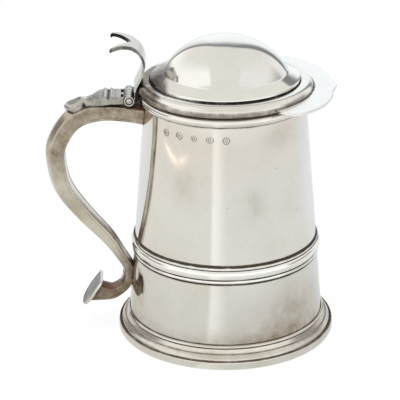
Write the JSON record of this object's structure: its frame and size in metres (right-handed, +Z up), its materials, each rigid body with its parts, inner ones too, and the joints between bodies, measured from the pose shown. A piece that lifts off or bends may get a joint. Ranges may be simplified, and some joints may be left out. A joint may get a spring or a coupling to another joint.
{
  "type": "lidded tankard",
  "caption": "Silver tankard with a tapered drum, moulded girdle and foot, scroll handle, and a domed lid that swings on a knuckle hinge with a forked thumbpiece.",
  "frame": {"origin": "under the middle of the overall length and width, on the plane the foot stands on", "axes": "+Z up along the drum, +X towards the lid's peak, handle towards -X, +Y across"},
  "size_m": [0.1638, 0.124, 0.1744],
  "materials": {
    "body_silver": "satin silver, lightly tarnished",
    "lid_silver": "polished silver",
    "handle_silver": "satin silver with brown tarnish",
    "hinge_silver": "worn silver"
  },
  "bodies": {
    "vessel": {"body_drum": "body_silver", "base_plate": "body_silver", "foot_ring": "body_silver", "girdle_band": "body_silver", "lip_moulding": "body_silver", "handle_back": "handle_silver", "handle_inner_strip": "handle_silver", "handle_terminal": "handle_silver", "hinge_plate": "hinge_silver", "handle_knuckle_near": "hinge_silver", "handle_knuckle_middle": "hinge_silver", "handle_knuckle_far": "hinge_silver", "hinge_pin": "hinge_silver"},
    "lid": {"lid_dome": "lid_silver", "lid_rim_moulding": "lid_silver", "lid_bezel": "lid_silver", "lid_peak": "lid_silver", "lid_hinge_leaf": "hinge_silver", "lid_knuckle_near": "hinge_silver", "lid_knuckle_far": "hinge_silver", "thumbpiece": "lid_silver"}
  },
  "joints": [
    {"name": "lid_hinge", "type": "hinge", "parent": "vessel", "child": "lid", "pos_m": [-0.03372, 0, 0.1403], "axis": [0, -1, 0], "range_deg": [0, 85]}
  ]
}
